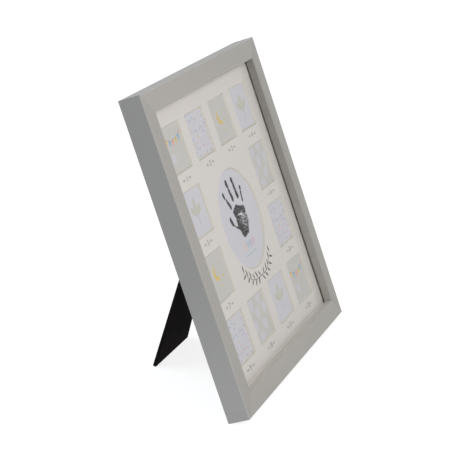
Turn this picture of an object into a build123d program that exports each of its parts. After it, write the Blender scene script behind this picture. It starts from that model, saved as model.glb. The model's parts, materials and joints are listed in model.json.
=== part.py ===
from build123d import *
import os
from math import cos, radians, sin, tan

# Square photo frame for a desk: four mitred rails, glass, a mount with twelve square windows round
# a circular one, thirteen cards, filler, backing, turn buttons and a folding strut on a steel hinge.
# X runs to the right and Z up. The frame leans back on its open strut. The origin is on the ground,
# under the middle of the whole.

# Rails
frame_side = 350.0
frame_depth = 25.0
face_width = 22.5
rebate_width = 6.5
sight_depth = 9.7
sight_relief = 1.4
front_round = 1.0
sight_round = 0.6
rear_round = 0.5

# Sheets in the rebate, from the front to the back
glass_thickness = 2.0
glass_air = 0.1
mount_thickness = 1.6
card_thickness = 0.4
backing_thickness = 3.85
backing_recess = 0.45
sheet_clearance = 0.5

# Windows of the mount, and how far each card reaches past its window
bevel_angle = 45.0
window_side = 49.0
circle_radius = 56.0
circle_drop = 1.2
card_margin = 3.5
round_card_margin = 3.0
windows_per_side = 4

# Corner nails, measured on the back of a mitre
nail_wing = 5.0
nail_gauge = 0.7
nail_length = 9.0
first_nail_inset = 4.5
nail_step = 5.5
nails_per_corner = 2

# Turn buttons and their screws
button_spacing = 190.0
button_setback = 5.0
button_reach = 10.5
button_heel_radius = 4.2
button_tip_radius = 3.0
button_thickness = 1.0
button_edge = 0.25
button_gap = 0.2
button_bore_clearance = 0.08
screw_radius = 1.4
screw_length = 12.0
screw_head_radius = 3.1
screw_head_height = 1.5
recess_width = 0.7
recess_span = 3.6
recess_depth = 0.8
screws_per_rail = 2

# Stance: how far the frame leans back, and how far the strut opens
lean_angle = 19.4
open_angle = 35.0

# Strut leg
hinge_height = 218.5
leg_thickness = 3.85
leg_foot_width = 101.0
leg_top_width = 58.0
leg_top_gap = 0.9
leg_corner_round = 3.0
leg_clearance = 0.3

# Hinge
hinge_width = 44.0
leaf_thickness = 1.0
fixed_leaf_height = 30.0
moving_leaf_length = 34.0
leaf_corner_round = 4.0
pin_radius = 1.5
pin_clearance = 0.05
pin_overhang = 0.6
knuckle_width = 12.0
knuckle_gap = 0.3
stop_width = 7.0
stop_length = 8.0
stop_gap = 0.2

# Rivets of the hinge
rivet_radius = 1.5
rivet_head_radius = 2.8
rivet_head_height = 0.9
rivet_spacing = 28.0
fixed_rivet_height = 20.0
moving_rivet_drop = 15.0
last_rivet_drop = 27.0

# Sizes that follow from the ones above
rail_back_width = face_width - rebate_width
pocket_side = frame_side - 2 * rail_back_width
sheet_side = pocket_side - 2 * sheet_clearance
glass_front = frame_depth - sight_depth
glass_rear = glass_front - glass_thickness
mount_front = glass_rear - glass_air
card_front = mount_front - mount_thickness
filler_front = card_front - card_thickness
backing_front = backing_recess + backing_thickness
filler_thickness = filler_front - backing_front
bevel_width = mount_thickness * tan(radians(bevel_angle))

# The windows lie as far from each other as from the rails
sight_side = frame_side - 2 * face_width
window_gap = (sight_side - windows_per_side * window_side) / (windows_per_side + 1)
window_pitch = window_side + window_gap
last_window = windows_per_side - 1

knuckle_radius = pin_radius + pin_clearance + leaf_thickness
leaf_offset = pin_radius + pin_clearance
pin_behind = leg_clearance + leg_thickness - leaf_offset
pin_above_backing = pin_behind + backing_recess
leg_top = knuckle_radius + leg_top_gap
leg_inner_offset = leaf_offset - leg_thickness

# The stance: the rounded rear edge of the bottom rail and the leg's inner lower edge meet the ground
lean = radians(lean_angle)
leg_slope = radians(open_angle - lean_angle)
rest_drop = rear_round * (sin(lean) + cos(lean) - 1)
pin_y = pin_behind * cos(lean) + hinge_height * sin(lean)
pin_z = hinge_height * cos(lean) - pin_behind * sin(lean) - rest_drop
leg_end = (pin_z + leg_inner_offset * sin(leg_slope)) / cos(leg_slope)
foot_back = pin_y + leaf_offset * cos(leg_slope) + leg_end * sin(leg_slope)
front_edge = -frame_depth * cos(lean)
origin_shift = (foot_back + front_edge) / 2

# Planes: the frame's back, with Y up the frame and Z to the front, and the same at its middle
frame_back = Plane(
    origin=(0, -origin_shift, -rest_drop), x_dir=(1, 0, 0), z_dir=(0, -cos(lean), sin(lean))
)
frame_middle = Plane(
    origin=frame_back.from_local_coords((0, frame_side / 2, 0)),
    x_dir=frame_back.x_dir,
    z_dir=frame_back.z_dir,
)

# Sections square to the pin: one follows the frame, with X up and Y to the front, and one follows
# the leg, with X down it and Y to the back
pin_middle = frame_back.from_local_coords((0, hinge_height, -pin_behind))
frame_section = Plane(origin=pin_middle, x_dir=frame_back.y_dir, z_dir=frame_back.x_dir)
leg_section = Plane(
    origin=pin_middle, x_dir=(0, sin(leg_slope), -cos(leg_slope)), z_dir=frame_back.x_dir
)

# The leg's outer face, with Y up the leg and Z to the back
leg_face = Plane(
    origin=leg_section.from_local_coords((0, leaf_offset, 0)),
    x_dir=-leg_section.z_dir,
    z_dir=leg_section.y_dir,
)

# The backing's rear face behind the hinge, with Y up the frame and Z to the back
hinge_seat = Plane(
    origin=frame_back.from_local_coords((0, hinge_height, backing_recess)),
    x_dir=-frame_back.x_dir,
    z_dir=-frame_back.z_dir,
)

# One plane for each rail, turned a quarter each time, so that its rail lies at the plane's foot
rail_names = ("bottom", "right", "top", "left")
quarter_turns = [radians(90 * turn) for turn in range(len(rail_names))]
side_planes = [
    Plane(
        origin=frame_middle.origin,
        x_dir=frame_middle.x_dir * cos(turn) + frame_middle.y_dir * sin(turn),
        z_dir=frame_middle.z_dir,
    )
    for turn in quarter_turns
]

# The ring of square windows: the outer places of a square grid, row by row from the top left
window_places = [
    ((column - last_window / 2) * window_pitch, (last_window / 2 - row) * window_pitch)
    for row in range(windows_per_side)
    for column in range(windows_per_side)
    if row in (0, last_window) or column in (0, last_window)
]


def button_plane(side_plane, along):
    """A turn button's pivot on a rail's back: Y points to the frame's middle, Z to the back."""
    inset = rail_back_width - button_setback
    return Plane(
        origin=side_plane.from_local_coords((along, inset - frame_side / 2, 0)),
        x_dir=-side_plane.x_dir,
        z_dir=-side_plane.z_dir,
    )


button_places = [
    button_plane(side_plane, (index - (screws_per_rail - 1) / 2) * button_spacing)
    for side_plane in side_planes
    for index in range(screws_per_rail)
]


def finish(builder, name):
    """Label a finished piece and write it under its own name."""
    builder.part.label = name
    export_step(builder.part, f"parts/{name}.step")


os.makedirs("parts", exist_ok=True)

# Corner nails: two V-shaped wedges across each mitre, driven in from the back
with BuildPart() as corner_nails:
    for side_plane in side_planes:
        with BuildSketch(side_plane):
            for index in range(nails_per_corner):
                apex = first_nail_inset + index * nail_step - frame_side / 2
                with Locations((apex, apex)):
                    Rectangle(nail_wing, nail_gauge, align=(Align.MIN, Align.MIN))
                    Rectangle(nail_gauge, nail_wing, align=(Align.MIN, Align.MIN))
        extrude(amount=nail_length)
finish(corner_nails, "corner_nails")

# Button screws: round heads with a cross recess, one through each turn button
head_base = 2 * button_gap + button_thickness
with BuildPart() as button_screws:
    for place in button_places:
        profile = Plane(origin=place.origin, x_dir=place.x_dir, z_dir=-place.y_dir)
        with BuildSketch(profile):
            with BuildLine():
                shank = Polyline(
                    (0, -screw_length),
                    (screw_radius, screw_radius - screw_length),
                    (screw_radius, head_base),
                    (screw_head_radius, head_base),
                )
                crown = TangentArc(
                    (0, head_base + screw_head_height), (screw_head_radius, head_base), tangent=(1, 0)
                )
                Line(crown @ 0, shank @ 0)
            make_face()
        revolve(axis=Axis(place.origin, place.z_dir))
        with BuildSketch(place.offset(head_base + screw_head_height)):
            Rectangle(recess_span, recess_width)
            Rectangle(recess_width, recess_span)
        extrude(amount=-recess_depth, mode=Mode.SUBTRACT)
finish(button_screws, "button_screws")


def make_rail(side_plane, places):
    """One mitred rail: an L section with a rebate, slots for the nails and pilot holes for the screws."""
    section = Plane(
        origin=side_plane.from_local_coords((0, -frame_side / 2, 0)),
        x_dir=side_plane.y_dir,
        z_dir=side_plane.x_dir,
    )
    with BuildPart() as rail:
        with BuildSketch(section):
            with BuildLine():
                Polyline(
                    (0, 0),
                    (rail_back_width, 0),
                    (rail_back_width, glass_front),
                    (face_width - sight_relief, glass_front),
                    (face_width, glass_front + sight_relief),
                    (face_width, frame_depth),
                    (0, frame_depth),
                    close=True,
                )
            make_face()
            fillet(vertices().group_by(Axis.Y)[0].sort_by(Axis.X)[0], rear_round)
            fillet(vertices().group_by(Axis.Y)[-1].sort_by(Axis.X)[0], front_round)
            fillet(vertices().group_by(Axis.Y)[-1].sort_by(Axis.X)[-1], sight_round)
        extrude(amount=frame_side / 2, both=True)
        for lead in (1, -1):
            mitre = Plane(
                origin=side_plane.origin,
                x_dir=side_plane.z_dir,
                z_dir=side_plane.x_dir * lead + side_plane.y_dir,
            )
            split(bisect_by=mitre, keep=Keep.BOTTOM)
        with Locations(*places):
            Hole(screw_radius, depth=screw_length)
        add(corner_nails.part, mode=Mode.SUBTRACT)
    return rail


for turn, name in enumerate(rail_names):
    own_places = button_places[turn * screws_per_rail : (turn + 1) * screws_per_rail]
    finish(make_rail(side_planes[turn], own_places), f"{name}_rail")

# Glass: one plain pane against the back of the lip, with a thin layer of air behind it
with BuildPart() as glass_pane:
    with BuildSketch(frame_middle.offset(glass_rear)):
        Rectangle(sheet_side, sheet_side)
    extrude(amount=glass_thickness)
finish(glass_pane, "glass_pane")

# Mount: board with windows cut at 45 degrees, wider at the front
with BuildPart() as mount_board:
    with BuildSketch(frame_middle.offset(card_front)):
        Rectangle(sheet_side, sheet_side)
    extrude(amount=mount_thickness)
    with BuildSketch(frame_middle.offset(mount_front)):
        with Locations(*window_places):
            Rectangle(window_side + 2 * bevel_width, window_side + 2 * bevel_width)
        with Locations((0, -circle_drop)):
            Circle(circle_radius + bevel_width)
    extrude(amount=-mount_thickness, taper=bevel_angle, mode=Mode.SUBTRACT)
finish(mount_board, "mount_board")


# Cards: one small square card behind each window, and the handprint card behind the circle
def make_card(centre, side):
    """A square card against the back of the mount."""
    with BuildPart() as card:
        with BuildSketch(frame_middle.offset(filler_front)):
            with Locations(centre):
                Rectangle(side, side)
        extrude(amount=card_thickness)
    return card


for number, place in enumerate(window_places, start=1):
    finish(make_card(place, window_side + 2 * card_margin), f"month_card_{number:02d}")
finish(make_card((0, -circle_drop), 2 * (circle_radius + round_card_margin)), "handprint_card")

# Filler: board that fills the rebate behind the cards
with BuildPart() as filler_board:
    with BuildSketch(frame_middle.offset(backing_front)):
        Rectangle(sheet_side, sheet_side)
    extrude(amount=filler_thickness)
finish(filler_board, "filler_board")

# Rivets of the fixed leaf, through the leaf and the backing
fixed_rivets = [(side * rivet_spacing / 2, fixed_rivet_height) for side in (-1, 1)]
moving_rivets = [(side * rivet_spacing / 2, -moving_rivet_drop) for side in (-1, 1)]
moving_rivets.append((0, -last_rivet_drop))


def make_rivets(seat, places, grip):
    """Rivets with low round heads on a leaf, and shanks that end flush after their grip."""
    with BuildPart() as rivets:
        for place in places:
            foot = seat.from_local_coords((*place, 0))
            profile = Plane(origin=foot, x_dir=seat.x_dir, z_dir=-seat.y_dir)
            with BuildSketch(profile):
                with BuildLine():
                    shank = Polyline(
                        (0, -grip),
                        (rivet_radius, -grip),
                        (rivet_radius, leaf_thickness),
                        (rivet_head_radius, leaf_thickness),
                    )
                    crown = TangentArc(
                        (0, leaf_thickness + rivet_head_height),
                        (rivet_head_radius, leaf_thickness),
                        tangent=(1, 0),
                    )
                    Line(crown @ 0, shank @ 0)
                make_face()
            revolve(axis=Axis(foot, seat.z_dir))
    return rivets


finish(make_rivets(hinge_seat, fixed_rivets, backing_thickness), "backing_rivets")
finish(make_rivets(leg_face, moving_rivets, leg_thickness), "strut_rivets")

# Backing: the board that closes the rebate and carries the strut
with BuildPart() as backing_board:
    with BuildSketch(frame_middle.offset(backing_recess)):
        Rectangle(sheet_side, sheet_side)
    extrude(amount=backing_thickness)
    with BuildSketch(hinge_seat):
        with Locations(*fixed_rivets):
            Circle(rivet_radius)
    extrude(amount=-backing_thickness, mode=Mode.SUBTRACT)
finish(backing_board, "backing_board")

# Turn buttons: flat pressed tabs, round at the screw and narrower at the tip
for turn, side_name in enumerate(rail_names):
    for index in range(screws_per_rail):
        place = button_places[turn * screws_per_rail + index]
        with BuildPart() as turn_button:
            with BuildSketch(place.offset(button_gap)):
                Circle(button_heel_radius)
                with Locations((0, button_reach - button_tip_radius)):
                    Circle(button_tip_radius)
                make_hull()
                Circle(screw_radius + button_bore_clearance, mode=Mode.SUBTRACT)
            extrude(amount=button_thickness)
            rim = faces().sort_by(Axis(place.origin, place.z_dir))[-1].outer_wire()
            chamfer(rim.edges(), button_edge)
        finish(turn_button, f"turn_button_{side_name}_{index + 1}")

# Fixed leaf: plate on the backing with two outer knuckles, notched for the moving one
with BuildPart() as fixed_leaf:
    with BuildSketch(hinge_seat):
        Rectangle(hinge_width, fixed_leaf_height, align=(Align.CENTER, Align.MIN))
        fillet(vertices().group_by(Axis.Y)[-1], leaf_corner_round)
    extrude(amount=leaf_thickness)
    with BuildSketch(frame_section):
        Circle(knuckle_radius)
    extrude(amount=hinge_width / 2, both=True)
    with BuildSketch(frame_section):
        Circle(knuckle_radius + knuckle_gap)
        Rectangle(knuckle_radius + knuckle_gap, pin_above_backing, align=(Align.MIN, Align.MIN))
    extrude(amount=knuckle_width / 2 + knuckle_gap, both=True, mode=Mode.SUBTRACT)
    with BuildSketch(frame_section):
        Circle(pin_radius)
    extrude(amount=hinge_width / 2, both=True, mode=Mode.SUBTRACT)
    with BuildSketch(hinge_seat):
        with Locations(*fixed_rivets):
            Circle(rivet_radius)
    extrude(amount=leaf_thickness, mode=Mode.SUBTRACT)
finish(fixed_leaf, "fixed_leaf")

# Moving leaf: plate on the leg's outer face, the middle knuckle, and a tongue that stops the leg
stop_back = pin_above_backing - leaf_thickness - stop_gap
with BuildPart() as moving_leaf:
    with BuildSketch(leg_face):
        with Locations((0, -leg_top)):
            Rectangle(hinge_width, moving_leaf_length - leg_top, align=(Align.CENTER, Align.MAX))
        fillet(vertices().group_by(Axis.Y)[0], leaf_corner_round)
        Rectangle(knuckle_width, 2 * leg_top, align=(Align.CENTER, Align.MAX))
    extrude(amount=leaf_thickness)
    with BuildSketch(leg_section):
        Circle(knuckle_radius)
    extrude(amount=knuckle_width / 2, both=True)
    with BuildSketch(frame_section):
        with Locations((0, stop_back)):
            Rectangle(stop_length, leaf_thickness, align=(Align.MIN, Align.MAX))
    extrude(amount=stop_width / 2, both=True)
    with BuildSketch(leg_section):
        Circle(pin_radius + pin_clearance)
    extrude(amount=knuckle_width / 2, both=True, mode=Mode.SUBTRACT)
    with BuildSketch(leg_face):
        with Locations(*moving_rivets):
            Circle(rivet_radius)
    extrude(amount=leaf_thickness, mode=Mode.SUBTRACT)
finish(moving_leaf, "moving_leaf")

# Pin: tight in the fixed knuckles, with a running fit in the moving one
with BuildPart() as hinge_pin:
    with BuildSketch(frame_section):
        Circle(pin_radius)
    extrude(amount=hinge_width / 2 + pin_overhang, both=True)
finish(hinge_pin, "hinge_pin")

# Strut leg: board that widens from the hinge to a square-cut foot
with BuildPart() as strut_leg:
    with BuildSketch(leg_face):
        with BuildLine():
            Polyline(
                (-leg_top_width / 2, -leg_top),
                (leg_top_width / 2, -leg_top),
                (leg_foot_width / 2, -leg_end),
                (-leg_foot_width / 2, -leg_end),
                close=True,
            )
        make_face()
        fillet(vertices().group_by(Axis.Y)[-1], leg_corner_round)
        with Locations(*moving_rivets):
            Circle(rivet_radius, mode=Mode.SUBTRACT)
    extrude(amount=-leg_thickness)
finish(strut_leg, "strut_leg")

# Places for the joints, in millimetres
print("hinge pin", [round(value, 4) for value in pin_middle])
print("leg reach below the pin", round(leg_end, 3), "filler", round(filler_thickness, 3))
print("button axis", [round(value, 6) for value in -frame_back.z_dir])
for turn, side_name in enumerate(rail_names):
    for index in range(screws_per_rail):
        pivot = button_places[turn * screws_per_rail + index].origin
        print(f"turn_button_{side_name}_{index + 1}", [round(value, 4) for value in pivot])
under_face = frame_back.from_local_coords((0, 0, frame_depth / 2))
print("under face", [round(value, 4) for value in under_face])
print("under axis", [round(value, 6) for value in -frame_back.y_dir])
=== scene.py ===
import json
from math import cos, pi, radians, sin

import bpy
import numpy as np
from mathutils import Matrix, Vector


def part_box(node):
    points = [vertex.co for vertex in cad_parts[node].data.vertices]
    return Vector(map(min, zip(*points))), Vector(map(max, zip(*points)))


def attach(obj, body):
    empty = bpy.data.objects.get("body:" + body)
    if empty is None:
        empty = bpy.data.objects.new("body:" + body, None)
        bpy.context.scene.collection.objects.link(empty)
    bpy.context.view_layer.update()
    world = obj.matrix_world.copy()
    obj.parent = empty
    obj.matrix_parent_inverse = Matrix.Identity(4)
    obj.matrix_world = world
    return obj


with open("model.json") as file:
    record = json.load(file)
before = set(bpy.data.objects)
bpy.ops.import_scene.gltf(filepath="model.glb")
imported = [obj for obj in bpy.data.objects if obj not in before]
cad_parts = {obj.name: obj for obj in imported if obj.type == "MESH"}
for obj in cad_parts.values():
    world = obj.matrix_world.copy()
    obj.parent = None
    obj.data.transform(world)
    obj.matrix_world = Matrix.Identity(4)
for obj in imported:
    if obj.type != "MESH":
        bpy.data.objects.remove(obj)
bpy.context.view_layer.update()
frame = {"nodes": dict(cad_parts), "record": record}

# View: a camera with a long lens. It stands far off to the frame's left and a little above it, and it looks
# slightly down at the middle of the frame, which leans back on its open leg.
lens_length = 128.2
camera_place = (-1.64292, -0.57085, 0.67388)
camera_dip = 16.66
camera_turn = -70.70
camera_data = bpy.data.cameras.new("camera")
camera_data.lens = lens_length
camera = bpy.data.objects.new("camera", camera_data)
camera.location = camera_place
camera.rotation_euler = (radians(90 - camera_dip), 0, radians(camera_turn))
bpy.context.scene.collection.objects.link(camera)
bpy.context.scene.camera = camera
bpy.context.scene.view_settings.view_transform = "Standard"

# Stage: a wide pale floor in a plain white studio, with soft light from all round. A soft lamp stands in
# front of the frame, to its left and above it, and a wide faint light comes down from behind.
floor_half = 12.0
surround_light = (0.472, 0.5, 0.505, 1)
mirrored_light = (1, 1, 1, 1)
floor_light = (0.85, 0.85, 0.85, 1)
floor_seen = (0.27, 0.27, 0.27, 1)
floor_glow = (0.86, 0.86, 0.86, 1)
white = (1, 1, 1, 1)
black = (0, 0, 0, 1)


class Wire:
    """A link that leaves one of a material's nodes. Sums written on it add Math nodes."""

    def __init__(self, socket):
        self.socket = socket
        self.tree = socket.id_data

    def node(self, kind, sockets, output=0, stops=(), steps="LINEAR", **settings):
        """Adds a node: its settings and ramp stops first, then the values or links of its sockets."""
        added = self.tree.nodes.new("ShaderNode" + kind)
        for name, value in settings.items():
            setattr(added, name, value)
        if stops:
            ramp = added.color_ramp
            ramp.interpolation = steps
            while len(ramp.elements) < len(stops):
                ramp.elements.new(1)
            for element, (position, colour) in zip(ramp.elements, stops):
                element.position = position
                element.color = colour
        for name, value in sockets.items():
            if isinstance(value, Wire):
                self.tree.links.new(value.socket, added.inputs[name])
            else:
                added.inputs[name].default_value = value
        return Wire(added.outputs[output])

    def math(self, operation, *values, clamp=False):
        return self.node("Math", dict(enumerate(values)), operation=operation, use_clamp=clamp)

    def vector(self, operation, *values):
        return self.node("VectorMath", dict(enumerate(values)), operation=operation)

    def measure(self, operation, *values):
        """A number worked out from vectors: a distance, a length or a dot product."""
        return self.node("VectorMath", dict(enumerate(values)), output="Value", operation=operation)

    def __add__(self, other):
        return self.math("ADD", self, other)

    __radd__ = __add__

    def __sub__(self, other):
        return self.math("SUBTRACT", self, other)

    def __rsub__(self, other):
        return self.math("SUBTRACT", other, self)

    def __mul__(self, other):
        return self.math("MULTIPLY", self, other)

    __rmul__ = __mul__

    def __truediv__(self, other):
        return self.math("DIVIDE", self, other)

    def __abs__(self):
        return self.math("ABSOLUTE", self)

    def most(self, other):
        """The greater of two numbers."""
        return self.math("MAXIMUM", self, other)

    def rise(self, low, high):
        """0 below low, 1 above high, and a smooth step between them. With high below low it falls."""
        if high < low:
            return 1 - self.rise(high, low)
        sockets = {"Value": self, "From Min": low, "From Max": high}
        return self.node("MapRange", sockets, interpolation_type="SMOOTHSTEP")

    def noise(self, scale, detail=2.0, roughness=0.5, distortion=0.0):
        """Soft random clouds from 0 to 1, with scale clouds to a millimetre."""
        sockets = {"Vector": self, "Scale": scale, "Detail": detail, "Roughness": roughness}
        return self.node("TexNoise", {**sockets, "Distortion": distortion})

    def parts(self):
        """The three numbers of a vector."""
        return [self.node("SeparateXYZ", {"Vector": self}, output=axis) for axis in "XYZ"]


# The places of the Mix node's sockets for colours.
mix_share, mix_under, mix_over, mix_result = 0, 6, 7, 2


def mixed(mask, under, over):
    """The colour over where the mask is 1, and the colour under where it is 0."""
    sockets = {mix_share: mask, mix_under: under, mix_over: over}
    return mask.node("Mix", sockets, output=mix_result, data_type="RGBA")


def sight_lines(tree):
    """Masks of the rays that come straight from the camera, and of those that glass and metal send on."""
    path = tree.nodes.new("ShaderNodeLightPath").outputs
    mirrored = Wire(path["Is Transmission Ray"]).most(Wire(path["Is Glossy Ray"]))
    return Wire(path["Is Camera Ray"]), mirrored


world = bpy.data.worlds.new("studio")
bpy.context.scene.world = world
world.use_nodes = True
seen, mirrored = sight_lines(world.node_tree)
surround = mixed(seen, mixed(mirrored, surround_light, mirrored_light), white)
world.node_tree.links.new(surround.socket, world.node_tree.nodes["Background"].inputs["Color"])

floor_mesh = bpy.data.meshes.new("floor")
floor_corners = [(-1, -1), (1, -1), (1, 1), (-1, 1)]
floor_mesh.from_pydata([(x * floor_half, y * floor_half, 0) for x, y in floor_corners], [], [(0, 1, 2, 3)])
floor = bpy.data.objects.new("floor", floor_mesh)
bpy.context.scene.collection.objects.link(floor)
floor_paint = bpy.data.materials.new("floor_paint")
floor_paint.use_nodes = True
seen, mirrored = sight_lines(floor_paint.node_tree)
floor_shader = floor_paint.node_tree.nodes["Principled BSDF"]
floor_shader.inputs["Roughness"].default_value = 0.9
floor_shader.inputs["Specular IOR Level"].default_value = 0.0
floor_shader.inputs["Emission Strength"].default_value = 1.0
floor_colour = mixed(seen, mixed(mirrored, floor_light, black), floor_seen)
glow_colour = mixed(seen, mixed(mirrored, black, mirrored_light), floor_glow)
floor_paint.node_tree.links.new(floor_colour.socket, floor_shader.inputs["Base Color"])
floor_paint.node_tree.links.new(glow_colour.socket, floor_shader.inputs["Emission Color"])
floor_mesh.materials.append(floor_paint)


def add_lamp(name, kind, place, aim, colour, power, **shape):
    """A soft lamp that faces its aim. Of a sun's place and aim only the direction counts."""
    lamp = bpy.data.lights.new(name, kind)
    lamp.energy = power
    lamp.color = colour
    for setting, value in shape.items():
        setattr(lamp, setting, value)
    stand = bpy.data.objects.new(name, lamp)
    stand.location = place
    stand.rotation_euler = (Vector(aim) - Vector(place)).to_track_quat("-Z", "Y").to_euler()
    bpy.context.scene.collection.objects.link(stand)


add_lamp(
    "front_lamp",
    "AREA",
    place=(-0.5, -0.9, 0.9),
    aim=(0, 0, 0.17),
    colour=(1.0, 0.935, 0.925),
    power=5.9,
    size=0.6,
)
add_lamp(
    "back_lamp",
    "SUN",
    place=(0, 0.6, 0.8),
    aim=(0, 0, 0),
    colour=(0.86, 0.9, 1.0),
    power=1.0,
    angle=radians(50),
)

# Rails: wood board moulding, mitred, glued and sprayed in a warm grey satin paint. The grain runs along each
# rail and shows faintly under the paint, and the outer front edges are a little rubbed, with a painted
# highlight along them. Light and shade are painted into the tone: on the walls of the opening, the fronts of
# the uprights, the outer sides and up the rails. The step behind the lip is bare board on the uprights,
# darkened as a painted shadow, and pale paint on the level rails as a painted light.
MM = 0.001
nodes = frame["nodes"]

# The frame leans back, so what is painted or printed on it is placed in its own directions: how far right,
# how far up the frame and how far to the front of the middle of the glass, in millimetres.
right = Vector((1, 0, 0))
up = -Vector(next(m["axis"] for m in frame["record"]["mounts"] if m["name"] == "under_face"))
front = right.cross(up)
glass_middle = sum(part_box("glass_pane"), Vector()) / 2
frame_turn = (Vector((0, 1, 0)).angle(up), 0, 0)
frame_axes = np.array([right, up, front])


def span(node):
    """The lowest and highest place of a node right, up and to the front, in millimetres."""
    places = np.array([v.co for v in nodes[node].data.vertices]) - np.array(glass_middle)
    along = places @ frame_axes.T / MM
    return along.min(axis=0), along.max(axis=0)


def new_finish(name, middle=(0, 0, 0)):
    """A material, and the wire of places in it, measured as above from a middle that is given likewise."""
    material = bpy.data.materials.new(name)
    material.use_nodes = True
    here = Wire(material.node_tree.nodes.new("ShaderNodeTexCoord").outputs["Object"])
    origin = glass_middle + Vector(np.array(middle) @ frame_axes * MM)
    sockets = {"Vector": here, "Location": origin, "Rotation": frame_turn, "Scale": (MM, MM, MM)}
    return material, here.node("Mapping", sockets, vector_type="TEXTURE")


def set_surface(material, bump=None, depth=0.1, **sockets):
    """Sets or links the shader's sockets, named with _ for a space. Where bump is 1, it stands depth
    millimetres high."""
    shader = material.node_tree.nodes["Principled BSDF"]
    for name, value in sockets.items():
        socket = shader.inputs[name.replace("_", " ")]
        if isinstance(value, Wire):
            material.node_tree.links.new(value.socket, socket)
        else:
            socket.default_value = value
    if bump is not None:
        relief = bump.node("Bump", {"Height": bump, "Distance": depth * MM, "Strength": 1.0})
        material.node_tree.links.new(relief.socket, shader.inputs["Normal"])
    return material


def dress(material, *names):
    """Gives CAD nodes a material in place of their own."""
    for name in names:
        nodes[name].data.materials.clear()
        nodes[name].data.materials.append(material)


def shade(red, green, blue):
    """A colour as a screen shows it, 0 to 255, turned into light, with full cover."""
    light = [
        value / 12.92 if value <= 0.04045 else ((value + 0.055) / 1.055) ** 2.4
        for value in (red / 255, green / 255, blue / 255)
    ]
    return (*light, 1)


def tinted(colour, amount):
    """A colour made lighter or darker by an amount that changes over the surface, 1 for no change."""
    sockets = {mix_share: 1.0, mix_under: colour, mix_over: amount}
    return amount.node("Mix", sockets, output=mix_result, data_type="RGBA", blend_type="MULTIPLY")


_, rail_high = span("bottom_rail")
_, glass_high = span("glass_pane")
frame_half = float(rail_high[0])
rail_front = float(rail_high[2])
sight_half = 152.5
step_front = float(glass_high[2]) + 0.05
rebate_edge = 160.0
rub_and_highlight_width = 1.3
mitre_line = 0.22
inner_edge_width = 8.0
grey_paint = shade(172.5, 169, 163)
# Pale rubbed paint for the outer front edges, which is also a painted highlight there and a painted light on
# the step of the level rails.
rubbed_and_lit_paint = shade(186, 183, 178)
# Cooler, darker copies of the grey for the outer sides: painted shade, as these faces get less light, the
# uprights' sides most.
level_side_shaded_paint = shade(163, 161, 159)
upright_side_shaded_paint = shade(157, 156.5, 154.5)
# Dark bare board for the step behind the lip on the uprights, darkened further as a painted shadow in the gap
# by the glass.
raw_board_and_shadow = shade(46, 41, 36)


def paint_rails(name, rails, stretch, lip_painted_light, front_painted_shade, edge_painted_shade, side_shaded_paint, step_painted_tone):
    """Grey paint on rails whose grain is drawn out by these factors right, up and to the front. The walls of
    the opening are lit by a painted factor, light above 1 and shade below it, and a painted shadow deepens
    towards their top. A painted shade darkens the front, and one more its inner edge on the right. The outer
    sides take a paint that is painted shade, and the step behind the lip a painted tone of its own."""
    material, place = new_finish(name)
    across, along, depth = place.parts()
    reach = abs(across).most(abs(along))
    cloud = place.noise(0.018, detail=3)
    speck = place.noise(1.6, detail=3, roughness=0.6)
    drawn = place.vector("MULTIPLY", place, stretch)
    grain = drawn.noise(1.0, detail=4, roughness=0.6)
    hair = drawn.noise(3.6, detail=2).rise(0.58, 0.72)
    tone = 0.945 + 0.045 * cloud + 0.02 * speck + 0.035 * grain - 0.012 * hair
    # The outer front edge is rubbed paler, and this is also a painted highlight along it.
    corner = reach.rise(frame_half - rub_and_highlight_width, frame_half - 0.4)
    corner = corner * depth.rise(rail_front - rub_and_highlight_width, rail_front - 0.4)
    rub_and_highlight = corner * (0.35 + 0.65 * place.noise(0.05, detail=3))
    joint = abs(abs(across) - abs(along)).rise(mitre_line, 0.08)
    lip = reach.rise(sight_half + 0.35, sight_half + 0.05) * depth.rise(rail_front - 0.4, rail_front - 1.0)
    # The walls of the opening are painted lighter or darker than the front, as light and shade fall there,
    # with a painted shadow that deepens towards the top.
    painted_wall_shadow = lip * along.rise(-140.0, 150.0)
    tone = tone * (1 + (lip_painted_light - 1) * lip - 0.22 * painted_wall_shadow)
    # A painted shade darkens the front, and more of it its inner edge.
    edge = across.rise(sight_half + inner_edge_width, sight_half + 0.5) * across.rise(0.0, 10.0)
    side = reach.rise(frame_half - 0.3, frame_half - 0.1)
    tone = tone - (front_painted_shade + edge_painted_shade * edge) * (1 - lip) * (1 - side)
    # Painted shade darkens the rails above their lower part, and painted light from the floor lifts the outer
    # sides towards the bottom.
    tone = tone - 0.04 * along.rise(-150.0, -10.0) + 0.16 * side * along.rise(20.0, -170.0)
    coat = mixed(rub_and_highlight, mixed(side, grey_paint, side_shaded_paint), rubbed_and_lit_paint)
    colour = tinted(coat, tone - 0.1 * joint)
    # The step behind the lip takes its own colour: a painted shadow on the uprights, a painted light on the
    # level rails.
    step = reach.rise(rebate_edge, rebate_edge - 0.3) * depth.rise(step_front + 0.05, step_front - 0.1)
    colour = mixed(step, colour, step_painted_tone)
    height = 0.5 * speck + 0.8 * grain - 0.5 * hair - 1.5 * joint
    rough = 0.46 + 0.1 * speck + 0.12 * cloud - 0.06 * rub_and_highlight
    set_surface(material, Base_Color=colour, Roughness=rough, bump=height, depth=0.03)
    dress(material, *rails)


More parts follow.
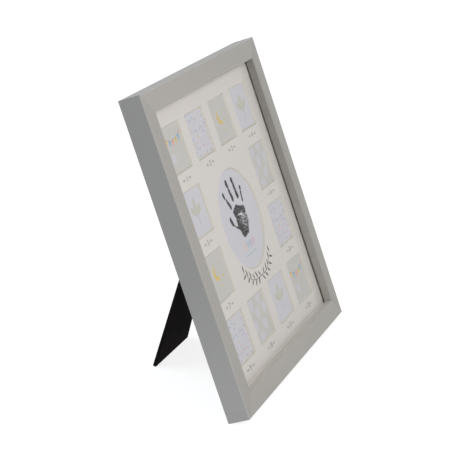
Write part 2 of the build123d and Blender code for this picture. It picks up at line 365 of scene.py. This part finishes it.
# The ledge of the level rails gets a painted light. The walls, fronts and sides of the uprights get painted
# shade.
paint_rails(
    "grey_paint_level",
    ("bottom_rail", "top_rail"),
    stretch=(0.03, 0.55, 0.55),
    lip_painted_light=1.32,
    front_painted_shade=0.0,
    edge_painted_shade=0.0,
    side_shaded_paint=level_side_shaded_paint,
    step_painted_tone=rubbed_and_lit_paint,
)
paint_rails(
    "grey_paint_upright",
    ("left_rail", "right_rail"),
    stretch=(0.55, 0.03, 0.55),
    lip_painted_light=0.91,
    front_painted_shade=0.07,
    edge_painted_shade=0.08,
    side_shaded_paint=upright_side_shaded_paint,
    step_painted_tone=raw_board_and_shadow,
)

# Corner nails: V-shaped wedges of zinc-plated strip steel, two to a corner. They are driven across each mitre
# from the back, and hold the glued joint together.
zinc = shade(176, 178, 180)


def plate_zinc(name, dull):
    """Zinc plating: patches of crystal that turn the light differently, fine scratches and a dull film."""
    material, place = new_finish(name)
    crystal = place.node("TexVoronoi", {"Vector": place, "Scale": 0.9}, output="Color")
    patch = crystal.parts()[0]
    film = place.noise(0.6, detail=4, roughness=0.65)
    scratch = place.vector("MULTIPLY", place, (3.0, 0.4, 3.0)).noise(2.0, detail=3)
    colour = tinted(zinc, 0.78 + 0.16 * patch + 0.14 * film)
    rough = dull + 0.12 * patch + 0.12 * film
    height = 0.6 * scratch + 0.4 * patch
    return set_surface(material, Base_Color=colour, Metallic=1.0, Roughness=rough, bump=height, depth=0.015)


dress(plate_zinc("zinc_strip", 0.38), "corner_nails")

# Glass: one plain pane of float glass, two millimetres thick, held against the back of the lip. It is treated
# against glare, so that it mirrors little, and it carries the faint smears that wiping leaves.
pane_index = 1.13
pane_tint = (0.965, 0.967, 0.965, 1)
material, place = new_finish("clear_glass")
smear = place.vector("MULTIPLY", place, (0.012, 0.03, 0.03)).noise(1.0, detail=4, roughness=0.6)
set_surface(material, Base_Color=white, Metallic=1.0, Roughness=0.05 * smear.rise(0.45, 0.75))
inside = smear.node("NewGeometry", {}, output="Backfacing")
mirror = smear.node("Fresnel", {"IOR": pane_index}) * (1 - inside)
clear = mirror.node("BsdfTransparent", {"Color": pane_tint})
solid = Wire(material.node_tree.nodes["Principled BSDF"].outputs["BSDF"])
pane = mirror.node("MixShader", {0: mirror, 1: clear, 2: solid})
outlet = material.node_tree.nodes["Material Output"].inputs["Surface"]
material.node_tree.links.new(pane.socket, outlet)
dress(material, "glass_pane")

# Mount: board of pale paper over a cream core, pressed flat behind the glass. A slanted blade cuts each
# window, so that the core shows as a bevel. The paper under the lip glows faintly: a painted light that
# lifts the shade there.
# The colour of the painted glow on the paper under the lip.
painted_lip_glow = (0.13, 0.128, 0.124, 1)
glow_width = 3.5
_, mount_high = span("mount_board")
mount_face = float(mount_high[2])
material, place = new_finish("mount_paper")
across, along, depth = place.parts()
tooth = place.noise(1.5, detail=4, roughness=0.65)
cloud = place.noise(0.02, detail=2)
paper = tinted(shade(229, 223, 218), 0.97 + 0.02 * tooth + 0.03 * cloud)
layers = place.vector("MULTIPLY", place, (0.15, 0.15, 6.0)).noise(1.0, detail=3)
core = tinted(shade(216, 211, 199), 0.93 + 0.12 * layers)
cut = depth.rise(mount_face - 0.03, mount_face - 0.09)
reach = abs(across).most(abs(along))
glow_end = sight_half + glow_width
under_lip = reach.rise(sight_half - 0.4, sight_half + 0.3) * reach.rise(glow_end + 0.4, glow_end - 0.4)
set_surface(
    material,
    Base_Color=mixed(cut, paper, core),
    Emission_Color=mixed(under_lip, black, painted_lip_glow),
    Emission_Strength=1.0,
    Roughness=0.82 + 0.1 * tooth,
    Specular_IOR_Level=0.3,
    bump=tooth,
    depth=0.04,
)
dress(material, "mount_board")

# Printing on the mount: a light grey number with a dash on each side of it under every window, and a charcoal
# garland that follows the lower edge of the circle. It is ink, so it lies in the face of the paper.
ink_height = 0.03
ring_points = 8
windows_per_side = 4
window_count = 12
window_pitch = 70.8
number_size = 8.4
number_weight = 0.26
number_drop = 34.4
digit_room = 1.1
flourish_reach = (3.4, 12.2)
flourish_steps = 25
flourish_width = 0.6
flourish_wave = 0.9
garland_radius = 69.0
garland_arc = (227.0, 312.0)
garland_lowest = 270
stem_steps = 80
stem_width = 0.46
stem_wave = 0.9
leaf_count = 21
leaf_steps = 15
leaf_lean = 0.95
leaf_length, leaf_length_spread = 7.6, 2.4
leaf_width, leaf_width_spread = 2.5, 0.8


def brush_stroke(path, widths, level):
    """A printed stroke along a path. Round each point of it lies a flat ring: half the stroke's width times
    the cosine to the side, and the ink's height times the sine to the front. Both ends close in a point."""
    path = np.asarray(path, float)
    ahead = np.gradient(path, axis=0)
    side = np.stack([-ahead[:, 1], ahead[:, 0]], axis=1) / np.hypot(*ahead.T)[:, None]
    turn = np.linspace(0, 2 * pi, ring_points, endpoint=False)
    aside = np.asarray(widths)[1:-1, None] * np.cos(turn)
    flat = path[1:-1, None] + side[1:-1, None] * aside[..., None]
    raised = np.broadcast_to(level + ink_height * np.sin(turn), flat.shape[:2])
    rings = np.concatenate([flat, raised[..., None]], axis=2).reshape(-1, 3)
    ends = np.column_stack([path[[0, -1]], [level, level]])
    count = len(path) - 2
    ring = np.arange(ring_points)
    after = (ring + 1) % ring_points
    first = np.arange(count - 1)[:, None] * ring_points
    second = first + ring_points
    quads = np.stack([first + ring, first + after, second + after, second + ring], axis=2)
    head, tail = count * ring_points, count * ring_points + 1
    last = (count - 1) * ring_points
    faces = [tuple(quad) for quad in quads.reshape(-1, 4).tolist()]
    faces += [(head, int(b), int(a)) for a, b in zip(ring, after)]
    faces += [(tail, int(last + a), int(last + b)) for a, b in zip(ring, after)]
    return np.concatenate([rings, ends]), faces


def on_frame(points):
    """Places in the world for places right, up and to the front, in millimetres."""
    return np.array(glass_middle) + MM * np.asarray(points) @ frame_axes


def join_pieces(name, pieces, material):
    """One object of many pieces, each with its points and faces, that rides on the frame."""
    faces = []
    start = 0
    for points, own_faces in pieces:
        faces += [tuple(start + corner for corner in face) for face in own_faces]
        start += len(points)
    places = on_frame(np.concatenate([points for points, _ in pieces]))
    mesh = bpy.data.meshes.new(name)
    mesh.from_pydata(places.tolist(), [], faces)
    mesh.materials.append(material)
    joined = bpy.data.objects.new(name, mesh)
    bpy.context.scene.collection.objects.link(joined)
    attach(joined, "frame")


def print_ink(name, ink_colour, cover):
    """Printing ink on paper: the paper's tooth breaks it up, and it dries a little uneven."""
    material, place = new_finish(name)
    tooth = place.noise(2.4, detail=4, roughness=0.7)
    pool = place.noise(0.25, detail=2)
    ink = tinted(ink_colour, 0.9 + 0.2 * pool)
    bare = tooth.rise(cover, cover + 0.12)
    colour = mixed(bare, ink, shade(222, 216, 211))
    return set_surface(material, Base_Color=colour, Roughness=0.7 + 0.15 * tooth)


def window_centre(number):
    """The middle of a square window, counted row by row from the top left."""
    last = windows_per_side - 1
    grid = [(row, column) for row in range(windows_per_side) for column in range(windows_per_side)]
    outer = [(row, column) for row, column in grid if row in (0, last) or column in (0, last)]
    row, column = outer[number - 1]
    return (column - last / 2) * window_pitch, (last / 2 - row) * window_pitch


def number_shape(text, size):
    """A number as a mesh: flat, centred and thickened a little, with its ink's height."""
    letters = bpy.data.curves.new("number", "FONT")
    letters.body = text
    letters.size = size
    letters.offset = number_weight
    letters.extrude = ink_height
    letters.align_x = "CENTER"
    letters.align_y = "CENTER"
    letters.resolution_u = 4
    shape = bpy.data.objects.new("number", letters)
    bpy.context.scene.collection.objects.link(shape)
    evaluated = shape.evaluated_get(bpy.context.evaluated_depsgraph_get())
    mesh = bpy.data.meshes.new_from_object(evaluated)
    points = np.array([v.co for v in mesh.vertices])
    faces = [tuple(face.vertices) for face in mesh.polygons]
    bpy.data.objects.remove(shape)
    return points, faces


captions = []
for number in range(1, window_count + 1):
    x, y = window_centre(number)
    points, faces = number_shape(str(number), number_size)
    clear_of = flourish_reach[0] + digit_room * len(str(number))
    captions.append((points + (x, y - number_drop, mount_face), faces))
    for side in (-1, 1):
        reach = np.linspace(clear_of, flourish_reach[1], flourish_steps)
        wave = flourish_wave * np.sin(side * reach * 1.6)
        path = np.column_stack([x + side * reach, y - number_drop + wave])
        widths = flourish_width * np.sin(np.linspace(0, pi, flourish_steps)) ** 0.5
        captions.append(brush_stroke(path, widths, mount_face))
pale_ink = print_ink("pale_grey_ink", shade(166, 162, 159), 0.66)
join_pieces("window_numbers", captions, pale_ink)

circle_low, circle_high = span("handprint_card")
circle_centre = (circle_low + circle_high)[:2] / 2


def stem_point(degrees):
    """A place on the garland's stem. Its radius waves by the sine of nine times its angle."""
    radius = garland_radius + stem_wave * np.sin(np.radians(degrees * 9))
    angle = np.radians(degrees)
    return circle_centre[0] + radius * np.cos(angle), circle_centre[1] + radius * np.sin(angle)


def leaf_stroke(root, heading, length, width):
    """One leaf: its half width is the sine of the way along it, to a power that blunts the foot."""
    way = np.linspace(0, 1, leaf_steps)
    bend = heading + 0.35 * (way - 0.5)
    stride = np.column_stack([np.cos(bend), np.sin(bend)]) * length / (leaf_steps - 1)
    path = np.asarray(root) + np.cumsum(stride, axis=0)
    return brush_stroke(path, width / 2 * np.sin(pi * way**0.8), mount_face)


stem_path = np.column_stack(stem_point(np.linspace(*garland_arc, stem_steps)))
stem_widths = stem_width * np.sin(np.linspace(0, pi, stem_steps)) ** 0.3
garland = [brush_stroke(stem_path, stem_widths, mount_face)]
rng = np.random.default_rng(7)
leaf_angles = np.linspace(garland_arc[0] + 3, garland_arc[1] - 3, leaf_count)
for index, degrees in enumerate(leaf_angles):
    past_lowest = degrees >= garland_lowest
    lean = leaf_lean if bool(index % 2) == past_lowest else -leaf_lean
    heading = radians(degrees) + pi / 2 + (0 if past_lowest else pi) - lean
    length = leaf_length + leaf_length_spread * rng.random()
    width = leaf_width + leaf_width_spread * rng.random()
    garland.append(leaf_stroke(stem_point(degrees), heading, length, width))
join_pieces("garland_print", garland, print_ink("charcoal_ink", shade(96, 94, 93), 0.62))

# Cards: twelve square cards, one behind each window, printed in pale blue or grey-green with small pastel
# pictures. The washes are uneven, as in water colour, and the paper has a fine tooth.
pale_blue = shade(215, 213, 219)
grey_green = shade(208, 205, 200)
sun_yellow = shade(230, 199, 110)
coral = shade(236, 168, 150)
sky_blue = shade(144, 182, 210)
leaf_green = shade(207, 204, 190)
blush = shade(220, 160, 184)
lilac = shade(160, 156, 194)
dusk = shade(158, 164, 178)
blue_cards = (2, 4, 5, 8, 9, 11)
soft_edge = 0.12
flag_pitch = 8.4
sprig_foot = np.array([1.0, -5.0])
sprig_line = shade(178, 178, 162)


def disc(place, x, y, radius):
    """1 inside a round spot, with a narrow soft edge."""
    away = place.measure("DISTANCE", place, (x, y, 0))
    return away.rise(radius + soft_edge, radius - soft_edge)


def rod(place, start, end, radii):
    """The distance to a round-ended stroke from start to end, whose radius changes evenly. It is negative
    inside the stroke."""
    run = np.subtract(end, start)
    from_start = place.vector("SUBTRACT", place, (*start, 0))
    dot = from_start.measure("DOT_PRODUCT", from_start, (*run, 0))
    share = dot.math("MULTIPLY", dot, float(1 / (run @ run)), clamp=True)
    off = share.vector("MULTIPLY_ADD", share, (*(-run), 0), from_start)
    return off.measure("LENGTH", off) - (radii[0] + (radii[1] - radii[0]) * share)


def print_moon(place, colour, wash):
    """A crescent, which is one disc less another, and a few round dots."""
    moon = disc(place, -2.0, 3.0, 8.2) * (1 - disc(place, 1.6, 5.2, 7.0))
    colour = mixed(moon * wash, colour, sun_yellow)
    for x, y, radius in ((10.0, 10.5, 1.2), (12.5, -3.0, 1.5), (-12.0, 12.5, 1.0), (5.0, -12.0, 1.3)):
        colour = mixed(disc(place, x, y, radius) * wash, colour, sun_yellow)
    return colour


def print_flags(place, colour, wash):
    """Bunting: a cord that sags as the square of the way across, with a triangle under it at every step."""
    x, y, _ = place.parts()
    drop = 9.0 + 0.012 * x * x - y
    step = x.math("ROUND", x / flag_pitch)
    local = abs(x - flag_pitch * step)
    flag = (3.4 - 0.42 * drop - local).rise(-0.1, 0.25) * drop.rise(-0.05, 0.1)
    hue = step.math("FLOORED_MODULO", step, 3.0)
    stops = ((0.0, coral), (0.333, sun_yellow), (0.667, sky_blue))
    shades = hue.node("ValToRGB", {"Fac": hue / 3 + 0.1}, stops=stops, steps="CONSTANT")
    colour = mixed(flag * wash, colour, shades)
    colour = mixed(abs(drop).rise(0.32, 0.14), colour, shade(170, 166, 158))
    return print_heart(place, colour, wash, -9.0, -12.0, 5.2, pale_blue)


def print_heart(place, colour, wash, x, y, size, fill):
    """A heart: inside it x squared plus the square of y less the root of x stays under one."""
    across, along, _ = place.parts()
    u = abs(across - x) / size
    v = (along - y) / size - u.math("SQRT", u) * 0.85
    return mixed((u * u + v * v).rise(1.06, 0.94) * wash, colour, fill)


def print_hearts(place, colour, wash):
    """Seven pale hearts in staggered rows."""
    for x, y in ((-15, 14), (8, 17), (-3, 2), (19, 3), (-19, -9), (8, -14), (-9, -24)):
        colour = print_heart(place, colour, wash, x, y, 6.6, pale_blue)
    return colour


def print_sprig(place, colour, wash):
    """Three leaves on a stalk. Each is where two large discs overlap, one from each side of its middle."""
    for tilt, length, width in ((140, 17.0, 7.5), (92, 19.0, 8.5), (42, 16.0, 7.5)):
        ahead = np.array([cos(radians(tilt)), sin(radians(tilt))])
        middle = sprig_foot + ahead * (2.5 + length / 2)
        radius = (length**2 + width**2) / (4 * width)
        aside = np.array([-ahead[1], ahead[0]]) * (radius - width / 2)
        blade = disc(place, *(middle + aside), radius) * disc(place, *(middle - aside), radius)
        colour = mixed(blade * wash, colour, leaf_green)
        rib = rod(place, sprig_foot, sprig_foot + ahead * (length - 2.0), (0.4, 0.1))
        colour = mixed(0.6 * rib.rise(soft_edge, -soft_edge), colour, sprig_line)
    stalk = rod(place, sprig_foot + (0.5, -8.0), sprig_foot, (0.55, 0.4))
    return mixed(0.7 * stalk.rise(soft_edge, -soft_edge), colour, sprig_line)


def print_dots(place, colour, wash):
    """Small spots and lozenges, one in most cells of a random net, each in one of five pastels."""
    for scale, radius, metric in ((0.15, 0.16, "EUCLIDEAN"), (0.1, 0.15, "MANHATTAN")):
        sockets = {"Vector": place.vector("MULTIPLY", place, (1, 1, 0)), "Scale": scale}
        settings = {"distance": metric, "voronoi_dimensions": "2D"}
        near = place.node("TexVoronoi", sockets, **settings)
        pick = place.node("TexVoronoi", sockets, output="Color", **settings).parts()
        stops = ((0.0, blush), (0.22, sky_blue), (0.42, sun_yellow), (0.55, lilac), (0.78, dusk))
        hue = pick[0].node("ValToRGB", {"Fac": pick[0]}, stops=stops, steps="CONSTANT")
        spot = near.rise(radius + 0.02, radius - 0.02) * pick[1].rise(0.25, 0.3)
        colour = mixed(0.75 * spot * wash, colour, hue)
    return colour


pictures = {
    1: print_flags,
    2: print_dots,
    3: print_moon,
    4: print_sprig,
    5: print_sprig,
    6: print_hearts,
    7: print_moon,
    8: print_dots,
    9: print_dots,
    10: print_hearts,
    11: print_sprig,
    12: print_flags,
}
for number, picture in pictures.items():
    name = f"month_card_{number:02d}"
    low, high = span(name)
    material, place = new_finish(name + "_print", (*(low + high)[:2] / 2, high[2]))
    tooth = place.noise(1.2, detail=4, roughness=0.65)
    wash = 0.72 + 0.45 * place.noise(0.22, detail=3, distortion=0.6)
    ground = pale_blue if number in blue_cards else grey_green
    colour = picture(place, tinted(ground, 0.975 + 0.03 * tooth + 0.02 * wash), wash)
    set_surface(material, Base_Color=colour, Roughness=0.78 + 0.12 * tooth, bump=tooth, depth=0.02)
    dress(material, name)

# Handprint card: one sheet of pale card with a small hand printed on it in charcoal ink. The ink lies dense
# under the pads and is broken by the folds and the fine ridges of the skin. Four pale hearts and a rippled
# line stand under it.
fingers = (
    ((-27.3, 34.4), (-25.2, 30.4), (2.3, 1.9)),
    ((-22.8, 26.6), (-17.3, 18.2), (1.9, 2.8)),
    ((-9.2, 44.2), (-8.0, 39.2), (3.1, 2.7)),
    ((-7.5, 34.4), (-4.6, 24.1), (2.5, 3.0)),
    ((7.9, 43.2), (9.2, 37.0), (3.0, 2.6)),
    ((9.5, 34.2), (10.6, 24.2), (2.7, 3.2)),
    ((24.7, 30.2), (24.6, 29.4), (2.4, 2.2)),
    ((23.1, 25.4), (20.2, 15.6), (1.8, 1.9)),
    ((-28.0, 5.6), (-26.0, 1.2), (3.0, 2.5)),
    ((-26.0, 1.2), (-22.4, -2.9), (2.3, 1.0)),
    ((-21.6, -3.6), (-18.0, -5.6), (0.5, 1.0)),
)
palm = (
    ((-9.8, 8.8), (-1.4, 11.9), (5.3, 4.9)),
    ((-1.0, 10.2), (6.4, 9.6), (4.6, 4.4)),
    ((10.2, 8.2), (15.6, 6.9), (4.6, 4.6)),
    ((-15.6, -6.2), (-9.0, -7.5), (1.8, 5.0)),
    ((-8.2, -0.5), (9.5, -2.6), (5.2, 5.6)),
    ((-6.5, -3.5), (-2.0, -12.2), (6.6, 8.8)),
    ((12.6, -2.8), (5.8, -12.4), (7.2, 7.8)),
)
folds = (
    ((-3.0, 5.4), (20.0, 0.4), (-0.3, 0.9), 0.5),
    ((-15.0, 3.0), (2.0, -1.6), (-0.3, 0.2), 0.5),
    ((1.0, 1.6), (19.0, -6.6), (-0.2, 0.5), 0.4),
)
palm_hollow = (8.5, -3.2, 0)
heart_height = -32.0
heart_size = 4.2
ripple_height = -40.3
ripple_reach = 17.0
low, high = span("handprint_card")
material, place = new_finish("handprint_print", (*(low + high)[:2] / 2, high[2]))
tooth = place.noise(1.2, detail=4, roughness=0.65)
sockets = {"Vector": place, "Scale": 0.16, "Detail": 4, "Roughness": 0.65}
wobble = place.node("TexNoise", sockets, output="Color")
shift = wobble.vector("SUBTRACT", wobble, (0.5, 0.5, 0))
skin = shift.vector("MULTIPLY_ADD", shift, (5.0, 5.0, 0), place)
shape = rod(skin, *fingers[0])
for start, end, radii in fingers[1:]:
    shape = shape.math("MINIMUM", shape, rod(skin, start, end, radii))
for start, end, radii in palm:
    shape = shape.math("SMOOTH_MIN", shape, rod(skin, start, end, radii), 2.0)
ragged = place.noise(0.55, detail=4, roughness=0.7)
grain = place.noise(1.1, detail=5, roughness=0.75)
turned = place.node("VectorRotate", {"Vector": place, "Angle": radians(14)}, rotation_type="Z_AXIS")
streak = place.vector("MULTIPLY", turned, (0.12, 0.5, 1.0)).noise(1.0, detail=5, roughness=0.7)
cover = (shape + 2.6 * (ragged - 0.5)).rise(0.35, -0.35)
hollow = place.measure("DISTANCE", place, palm_hollow).rise(13.5, 4.0)
press = 1.08 - 0.42 * hollow
for start, end, radii, fade in folds:
    press = press - fade * rod(skin, start, end, radii).rise(0.8, -0.3)
ink = cover * (press + (1.8 + 3.4 * hollow) * (streak - 0.5) + 2.8 * (grain - 0.5)).rise(-0.1, 1.15)
colour = tinted(pale_blue, 1.01 + 0.03 * tooth)
heart_wash = 0.15 + 0.4 * place.noise(0.22, detail=3)
for x, fill in ((-13.0, shade(236, 196, 160)), (-3.8, sky_blue), (5.2, lilac), (14.4, blush)):
    colour = print_heart(place, colour, heart_wash, x, heart_height, heart_size, fill)
across, along, _ = place.parts()
ripple = along - ripple_height + 0.4 * across.math("SINE", 0.45 * across)
line = abs(ripple).rise(0.75, 0.35) * abs(across + 2.0).rise(ripple_reach + 1.0, ripple_reach - 1.0)
colour = mixed(0.8 * line, colour, shade(150, 194, 192))
charcoal = mixed((streak + 0.5 * grain).rise(0.62, 0.86), shade(64, 59, 57), shade(14, 11, 10))
colour = mixed(ink, colour, charcoal)
rough = 0.8 - 0.18 * ink + 0.08 * tooth
set_surface(material, Base_Color=colour, Roughness=rough, Specular_IOR_Level=0.08, bump=tooth, depth=0.02)
dress(material, "handprint_card")

# Filler: a pad of brown corrugated board, cut to fit the rebate behind the cards. When the back is closed, it
# presses the cards, the mount and the glass against the lip.
material, place = new_finish("brown_board")
fibre = place.vector("MULTIPLY", place, (0.35, 1.4, 1.0)).noise(1.0, detail=5, roughness=0.7)
fleck = place.noise(0.9, detail=2).rise(0.66, 0.74)
flute = place.node("TexWave", {"Vector": place, "Scale": 0.045, "Distortion": 0.3}, output="Fac")
brown = mixed(0.5 * fleck, shade(164, 136, 104), shade(120, 94, 68))
colour = tinted(brown, 0.84 + 0.2 * fibre + 0.06 * flute)
rough = 0.86 + 0.08 * fibre
set_surface(material, Base_Color=colour, Roughness=rough, Specular_IOR_Level=0.2, bump=fibre + flute)
dress(material, "filler_board")

# Backing and leg: hardboard wrapped in matt black paper. The backing drops into the rebate, and the leg is a
# tapered board that folds out of it. The paper has a fine embossed grain and a few pale scuffs from handling.
# The leg's paper is darker than the backing's: a painted shade, as the leg's face under the frame is in
# shade.
black_boards = (
    ("backing_board", shade(36, 34, 34), 0.05),
    ("strut_leg", shade(32, 28, 27), 0.02),
)
for board, paper_black, shine in black_boards:
    material, place = new_finish(board + "_paper")
    emboss = place.node("TexVoronoi", {"Vector": place, "Scale": 1.5}, feature="SMOOTH_F1")
    fibre = place.noise(1.5, detail=5, roughness=0.7)
    bloom = place.noise(0.02, detail=3)
    drawn = place.vector("MULTIPLY", place, (0.5, 0.05, 0.5))
    scrape = drawn.noise(1.0, detail=4, roughness=0.7).rise(0.6, 0.8)
    scuffed = mixed(0.5 * scrape, paper_black, shade(84, 81, 79))
    paper = tinted(scuffed, 0.4 + 0.5 * fibre + 0.7 * bloom)
    height = fibre - 0.8 * emboss
    rough = 0.72 + 0.14 * fibre
    set_surface(
        material, Base_Color=paper, Roughness=rough, Specular_IOR_Level=shine, bump=height, depth=0.05
    )
    dress(material, board)

# Hinge: two leaves of black-lacquered sheet steel rolled round a steel pin. Hollow nickel-plated rivets hold
# one leaf to the backing and the other to the leg. The lacquer is scratched to the metal here and there.
material, place = new_finish("black_lacquer")
film = place.noise(0.5, detail=4, roughness=0.6)
drawn = place.vector("MULTIPLY", place, (2.6, 0.3, 2.6))
hair = drawn.noise(1.0, detail=3, roughness=0.7).rise(0.7, 0.76)
chip = place.noise(0.8, detail=5, roughness=0.8).rise(0.7, 0.73)
bare = (0.6 * hair).most(chip)
scratched = mixed(bare, shade(34, 34, 35), shade(168, 168, 170))
lacquer = tinted(scratched, 0.85 + 0.3 * film)
rough = 0.36 + 0.16 * film
set_surface(material, Base_Color=lacquer, Metallic=bare, Roughness=rough, bump=film - 0.5 * bare, depth=0.03)
dress(material, "fixed_leaf", "moving_leaf")
dress(plate_zinc("nickel_plate", 0.24), "backing_rivets", "strut_rivets", "hinge_pin")

# Turn buttons: eight stamped tabs of zinc-plated steel, two to a rail. Each turns on its own screw, over the
# edge of the backing to hold it in, or clear of it to let it out.
buttons = [name for name in nodes if name.startswith("turn_button")]
dress(plate_zinc("zinc_tab", 0.32), *buttons)
dress(plate_zinc("zinc_screw", 0.26), "button_screws")
